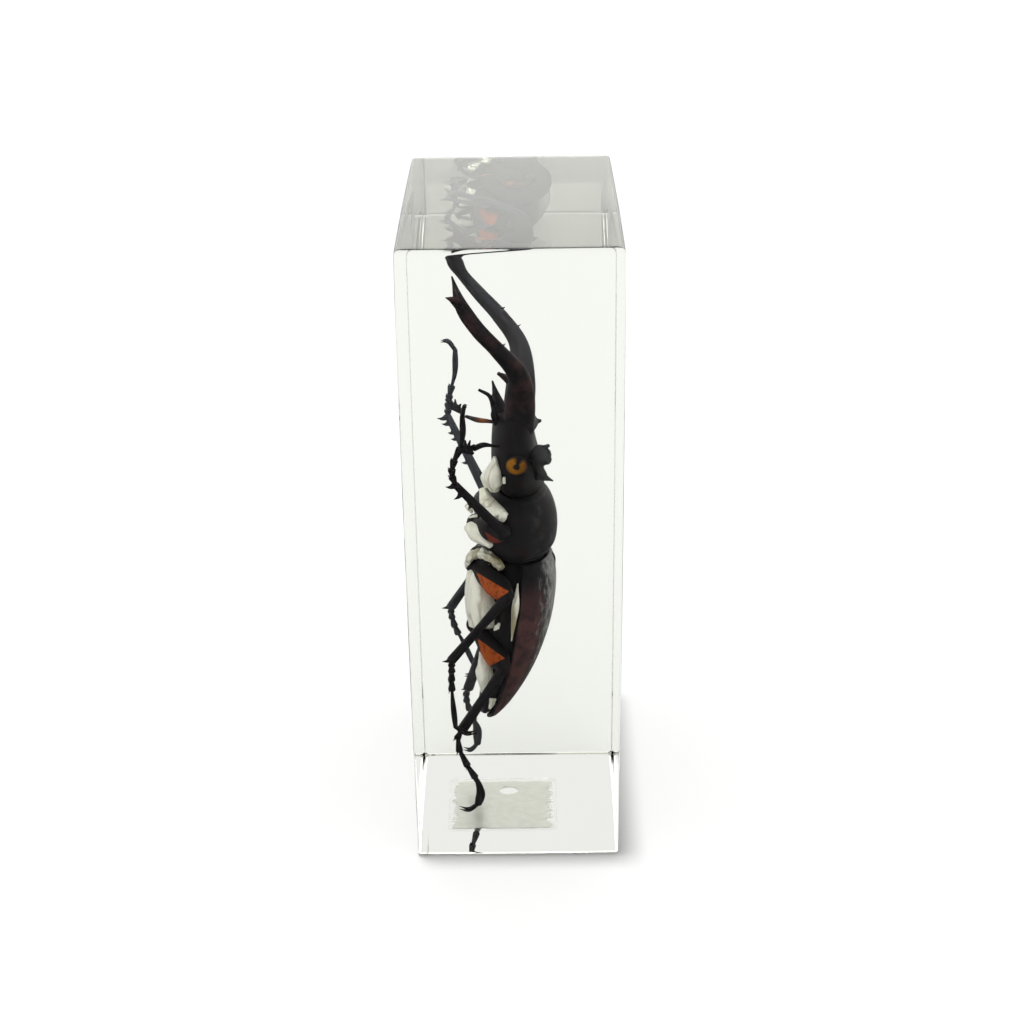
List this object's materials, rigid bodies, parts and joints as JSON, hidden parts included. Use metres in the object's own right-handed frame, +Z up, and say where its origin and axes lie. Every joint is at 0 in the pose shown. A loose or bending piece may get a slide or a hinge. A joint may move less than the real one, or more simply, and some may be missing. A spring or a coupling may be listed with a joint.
{
  "type": "insect in resin block",
  "caption": "Upright clear resin block with a long-jawed stag beetle cast inside it, legs out, and a small grey sticker flush in its base.",
  "frame": {"origin": "middle of the block's underside, on the surface that the block stands on", "axes": "+Z up, towards the beetle's jaws; +X to the face that the beetle's back is towards; -Y to the face that its left side is towards"},
  "size_m": [0.0356, 0.055, 0.11],
  "materials": {
    "clear_resin": "polished clear casting resin, faintly yellow-green",
    "grey_sticker": "translucent grey film with worn ends",
    "black_shell": "satin black insect shell",
    "mahogany_shell": "satin black-red insect shell",
    "leg_shell": "satin black with an orange patch on each thigh",
    "yellow_eye": "yellow-orange with a dark middle"
  },
  "bodies": {
    "root": {"resin_first_pour": "clear_resin", "resin_second_pour": "clear_resin", "base_sticker": "grey_sticker", "head": "black_shell", "pronotum": "black_shell", "hindbody": "black_shell", "elytron_left": "mahogany_shell", "elytron_right": "mahogany_shell", "mandible_left": "mahogany_shell", "mandible_right": "mahogany_shell", "eye_left": "yellow_eye", "eye_right": "yellow_eye", "antenna_left": "black_shell", "antenna_right": "black_shell", "front_leg_left": "leg_shell", "front_leg_right": "leg_shell", "middle_leg_left": "leg_shell", "middle_leg_right": "leg_shell", "hind_leg_left": "leg_shell", "hind_leg_right": "leg_shell"}
  },
  "joints": []
}
